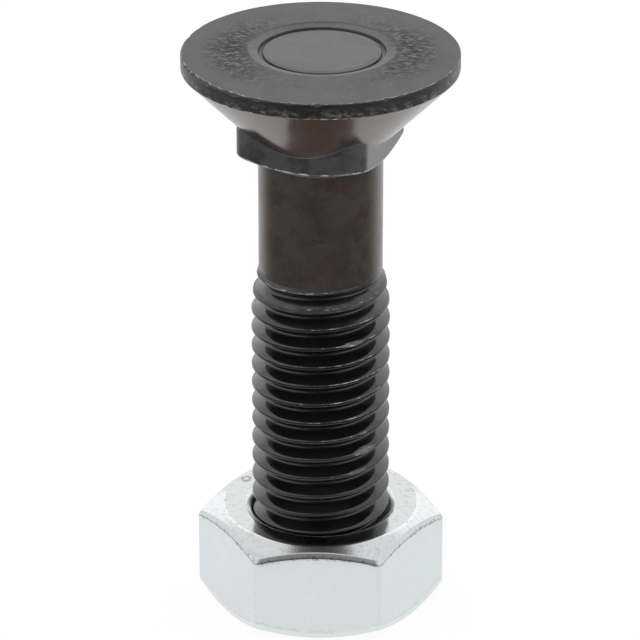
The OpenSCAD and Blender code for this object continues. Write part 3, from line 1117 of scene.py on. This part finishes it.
def dark_screen(studio):
    """A dark sheet on the camera's side, seen only in reflections, where it paints shade: a grey glow that
    casts no shadow. It lies on the floor and stands up further out: its section turned round the axis, open
    at the back. It fades to white at its inner and its upper edge and at both ends, and sooner where it
    stands."""
    radius, height = np.array(SCREEN_SECTION).T[:, :, None] * MM
    towards = studio.azimuth - TURN / 4 + studio.screen_turn
    aside = np.linspace(-studio.screen_end, studio.screen_end, SCREEN_COLUMNS)
    points = turned(radius, towards + aside, height)
    lying = ease(studio.screen_end, studio.screen_dark, np.abs(aside))
    standing = ease(studio.wall_end, studio.wall_dark, np.abs(aside))
    faded = np.zeros(SCREEN_COLUMNS)
    dark = np.stack([faded, lying, lying, standing, standing, faded])
    index = grid_of_numbers(0, *dark.shape)
    quads = np.stack([index[:-1, :-1], index[1:, :-1], index[1:, 1:], index[:-1, 1:]], axis=-1)
    # Painted reflection of shade: a grey glow, white towards its edges, that only glossy rays see.
    material, tree = cleared_material("painted_dark_reflection")
    shade = tint(tree, mark(tree, "dark"), WHITE, (studio.screen_grey,) * 3)
    cloth = add_node(tree, "Emission", {"Color": shade, "Strength": 1.0}).outputs[0]
    add_node(tree, "OutputMaterial", {"Surface": cloth})
    vertices, faces = points.reshape(-1, 3).tolist(), quads.reshape(-1, 4).tolist()
    screen = stage_piece("dark_screen", vertices, faces, material)
    darkness = screen.data.attributes.new("dark", "FLOAT", "POINT")
    darkness.data.foreach_set("value", dark.astype(np.float32).ravel())
    screen.visible_camera = screen.visible_diffuse = screen.visible_shadow = False


def soft_box(name, direction, size, radiance, target, mirrored=True):
    """An oblong lamp that faces the target, as bright all over as the radiance says. It shows in
    reflections or not."""
    lamp = bpy.data.lights.new(name, "AREA")
    lamp.shape = "RECTANGLE"
    lamp.size, lamp.size_y = size
    lamp.energy = radiance * math.pi * lamp.size * lamp.size_y
    box = bpy.data.objects.new(name, lamp)
    away = direction.normalized()
    box.location = target + away * BOX_DISTANCE
    box.rotation_euler = away.to_track_quat("Z", "Y").to_euler()
    box.visible_camera = False
    box.visible_glossy = mirrored
    bpy.context.scene.collection.objects.link(box)


def soft_boxes(studio):
    """One soft box on each side behind the bolt, and one overhead that lights without showing in
    reflections."""
    ahead = Vector((-math.sin(studio.azimuth), math.cos(studio.azimuth), 0))
    aside = Vector((math.cos(studio.azimuth), math.sin(studio.azimuth), 0))
    up = Vector((0, 0, 1))
    middle = Vector((0, 0, BOLT_HIGH.z / 2))
    part_ahead, part_aside, part_up = SIDE_BOX_TOWARDS
    behind = part_ahead * ahead + part_up * up
    soft_box("left_soft_box", behind - part_aside * aside, SIDE_BOX_SIZE, studio.left_lamp, middle)
    soft_box("right_soft_box", behind + part_aside * aside, SIDE_BOX_SIZE, studio.right_lamp, middle)
    soft_box("top_soft_box", up, TOP_BOX_SIZE, studio.top_lamp, middle, mirrored=False)


def studio_camera(studio):
    """The camera, turned and raised as the view is, and aimed at a point beside the bolt's axis."""
    data = bpy.data.cameras.new("camera")
    data.sensor_width = SENSOR_WIDTH
    data.lens = studio.lens
    data.clip_start, data.clip_end = 0.01, 100
    camera = bpy.data.objects.new("camera", data)
    sine, cosine = math.sin(studio.azimuth), math.cos(studio.azimuth)
    level = math.cos(studio.elevation)
    back = Vector((sine * level, -cosine * level, math.sin(studio.elevation)))
    left = Vector((-cosine, -sine, 0))
    camera.location = Vector((0, 0, studio.aim_height)) + left * studio.aim_left + back * studio.distance
    camera.rotation_euler = back.to_track_quat("Z", "Y").to_euler()
    bpy.context.scene.collection.objects.link(camera)
    bpy.context.scene.camera = camera


# Operators

class PLOWBOLT_OT_bolt(Operator):
    """Makes the forged bolt with its rolled thread, in place of its construction solid"""
    bl_idname = "plowbolt.make_bolt"
    bl_label = "Make the bolt"

    def execute(self, context):
        scene = context.scene
        points, quads = bolt_surface(scene.plow_bolt)
        marks = bolt_marks(scene.plow_bolt, scene.plow_wear, scene.plow_black, points)
        piece = make_piece("threaded_plow_bolt", points, quads, marks, black_steel(scene.plow_black))
        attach(piece, "bolt")
        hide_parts("plow_bolt")
        return {"FINISHED"}


class PLOWBOLT_OT_nut(Operator):
    """Makes the threaded hex nut, in place of its construction solid"""
    bl_idname = "plowbolt.make_nut"
    bl_label = "Make the nut"

    def execute(self, context):
        scene = context.scene
        points, quads = nut_surface(scene.plow_nut, scene.plow_bolt)
        marks = nut_marks(scene.plow_nut, points)
        piece = make_piece("threaded_hex_nut", points, quads, marks, zinc_plate(scene.plow_zinc))
        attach(piece, "nut")
        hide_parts("hex_nut")
        return {"FINISHED"}


class PLOWBOLT_OT_stage(Operator):
    """Sets the white floor, the dark screen, the soft light and the camera"""
    bl_idname = "plowbolt.make_stage"
    bl_label = "Set the stage"

    def execute(self, context):
        studio = context.scene.plow_studio
        white_surroundings(studio)
        white_floor(studio)
        dark_screen(studio)
        soft_boxes(studio)
        studio_camera(studio)
        context.scene.view_settings.view_transform = "Standard"
        return {"FINISHED"}


class PLOWBOLT_PT_panel(Panel):
    """Lists the pieces and the stage in the sidebar, each with its sizes and colours"""
    bl_label = "Plow Bolt"
    bl_idname = "PLOWBOLT_PT_panel"
    bl_space_type = "VIEW_3D"
    bl_region_type = "UI"
    bl_category = "Plow Bolt"

    def draw(self, context):
        for operator, groups in STEPS:
            box = self.layout.box()
            box.operator(operator.bl_idname)
            for group in groups:
                settings = getattr(context.scene, group)
                for name in settings.__annotations__:
                    box.prop(settings, name)


STEPS = (
    (PLOWBOLT_OT_bolt, ("plow_bolt", "plow_wear", "plow_black")),
    (PLOWBOLT_OT_nut, ("plow_nut", "plow_zinc")),
    (PLOWBOLT_OT_stage, ("plow_studio",)),
)
GROUPS = {
    "plow_bolt": BoltSizes,
    "plow_wear": BoltWear,
    "plow_black": BlackFinish,
    "plow_nut": NutSizes,
    "plow_zinc": ZincFinish,
    "plow_studio": Studio,
}
CLASSES = (*GROUPS.values(), PLOWBOLT_OT_bolt, PLOWBOLT_OT_nut, PLOWBOLT_OT_stage, PLOWBOLT_PT_panel)


def register():
    for made in CLASSES:
        bpy.utils.register_class(made)
    for name, group in GROUPS.items():
        setattr(bpy.types.Scene, name, PointerProperty(type=group))


def unregister():
    for name in GROUPS:
        delattr(bpy.types.Scene, name)
    for made in reversed(CLASSES):
        bpy.utils.unregister_class(made)


def main():
    register()
    bpy.ops.plowbolt.make_bolt()
    bpy.ops.plowbolt.make_nut()
    bpy.ops.plowbolt.make_stage()


if __name__ == "__main__":
    main()
